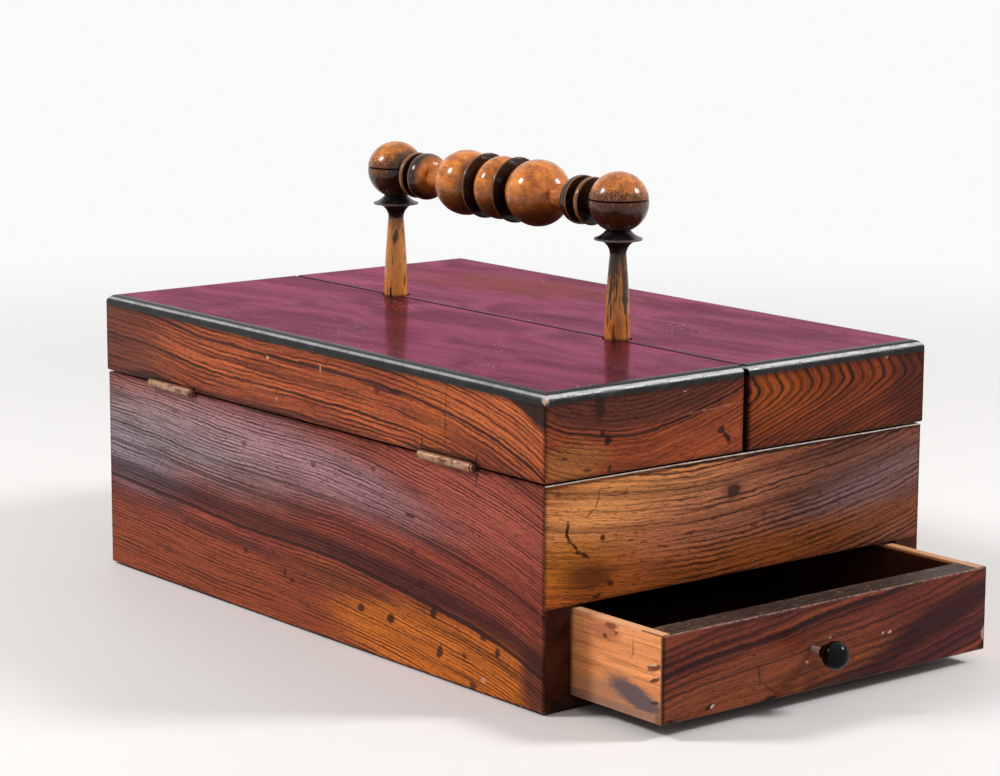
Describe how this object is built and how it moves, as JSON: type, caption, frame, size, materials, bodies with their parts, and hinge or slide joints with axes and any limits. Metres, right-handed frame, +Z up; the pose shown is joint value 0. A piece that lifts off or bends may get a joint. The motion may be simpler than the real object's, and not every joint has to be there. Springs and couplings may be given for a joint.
{
  "type": "writing box",
  "caption": "Rosewood table box with twin lids hinged on its long sides, a full-width end drawer and a turned carrying handle on posts.",
  "frame": {"origin": "middle of the case's footprint, on the surface it stands on", "axes": "+X the way the drawer pulls out, +Y towards the right-hand lid's hinges, +Z up"},
  "size_m": [0.3732, 0.2064, 0.1912],
  "materials": {
    "rosewood": "french polished rosewood veneer",
    "ebonised": "polished ebonised edging",
    "fruitwood": "polished turned fruitwood",
    "drawer_wood": "plain waxed drawer lining",
    "carcass_wood": "plain carcass wood",
    "brass": "aged brass",
    "screw_brass": "aged brass screws",
    "nail_iron": "rusted iron nails",
    "ebony": "polished ebony knob",
    "stem_metal": "worn metal stem"
  },
  "bodies": {
    "case": {"left_wall": "rosewood", "right_wall": "rosewood", "plain_end": "rosewood", "drawer_end_panel": "rosewood", "base_board": "carcass_wood", "dust_board": "carcass_wood", "partition": "carcass_wood", "left_plain_end_hinge_case_leaf": "brass", "left_plain_end_hinge_pin": "brass", "left_drawer_end_hinge_case_leaf": "brass", "left_drawer_end_hinge_pin": "brass", "right_plain_end_hinge_case_leaf": "brass", "right_plain_end_hinge_pin": "brass", "right_drawer_end_hinge_case_leaf": "brass", "right_drawer_end_hinge_pin": "brass", "case_screws": "screw_brass", "plain_end_post": "fruitwood", "plain_end_collar": "ebonised", "plain_end_ball": "fruitwood", "drawer_end_post": "fruitwood", "drawer_end_collar": "ebonised", "drawer_end_ball": "fruitwood", "handle_spindle": "fruitwood"},
    "left_lid": {"left_lid_board": "rosewood", "left_lid_seam_rim": "rosewood", "left_lid_outer_rim": "rosewood", "left_lid_outer_edging": "ebonised", "left_lid_drawer_end_rim": "rosewood", "left_lid_drawer_end_edging": "ebonised", "left_lid_plain_end_rim": "rosewood", "left_lid_plain_end_edging": "ebonised", "left_plain_end_hinge_lid_leaf": "brass", "left_drawer_end_hinge_lid_leaf": "brass", "left_lid_screws": "screw_brass"},
    "right_lid": {"right_lid_board": "rosewood", "right_lid_seam_rim": "rosewood", "right_lid_outer_rim": "rosewood", "right_lid_outer_edging": "ebonised", "right_lid_drawer_end_rim": "rosewood", "right_lid_drawer_end_edging": "ebonised", "right_lid_plain_end_rim": "rosewood", "right_lid_plain_end_edging": "ebonised", "right_plain_end_hinge_lid_leaf": "brass", "right_drawer_end_hinge_lid_leaf": "brass", "right_lid_screws": "screw_brass"},
    "drawer": {"drawer_front": "rosewood", "drawer_left_side": "drawer_wood", "drawer_right_side": "drawer_wood", "drawer_back": "drawer_wood", "drawer_bottom": "drawer_wood", "drawer_nails": "nail_iron", "knob": "ebony", "knob_stem": "stem_metal"}
  },
  "joints": [
    {"name": "left_lid_hinge", "type": "hinge", "parent": "case", "child": "left_lid", "pos_m": [0, -0.1013, 0.08825], "axis": [1, 0, 0], "range_deg": [0, 110]},
    {"name": "right_lid_hinge", "type": "hinge", "parent": "case", "child": "right_lid", "pos_m": [0, 0.1013, 0.08825], "axis": [-1, 0, 0], "range_deg": [0, 110]},
    {"name": "drawer_slide", "type": "slide", "parent": "case", "child": "drawer", "axis": [1, 0, 0], "range_m": [-0.0503, 0.165]}
  ]
}
